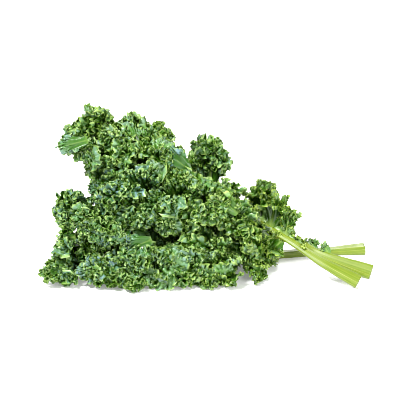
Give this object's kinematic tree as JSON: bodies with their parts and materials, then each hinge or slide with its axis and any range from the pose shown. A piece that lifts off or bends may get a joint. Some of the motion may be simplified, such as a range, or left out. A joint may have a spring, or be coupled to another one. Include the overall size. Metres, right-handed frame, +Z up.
{
  "type": "curly kale bunch",
  "caption": "Small bunch of curly kale leaves lying on its side, frilled green blades fanned out from pale crossed stems with cut ends.",
  "frame": {"origin": "on the surface the bunch lies on, under the middle of its box", "axes": "+Z up from the surface, +X along the bunch towards the cut stem ends, -Y towards the side the leaves face"},
  "size_m": [0.3392, 0.129, 0.1659],
  "materials": {
    "blade": "waxy leaf, satin",
    "stem": "smooth moist stem, satin"
  },
  "bodies": {
    "root": {"upper_stem": "stem", "upper_blade": "blade", "middle_stem": "stem", "middle_blade": "blade", "middle_leaflet_1": "blade", "middle_leaflet_2": "blade", "lower_stem": "stem", "lower_blade": "blade"}
  },
  "joints": []
}
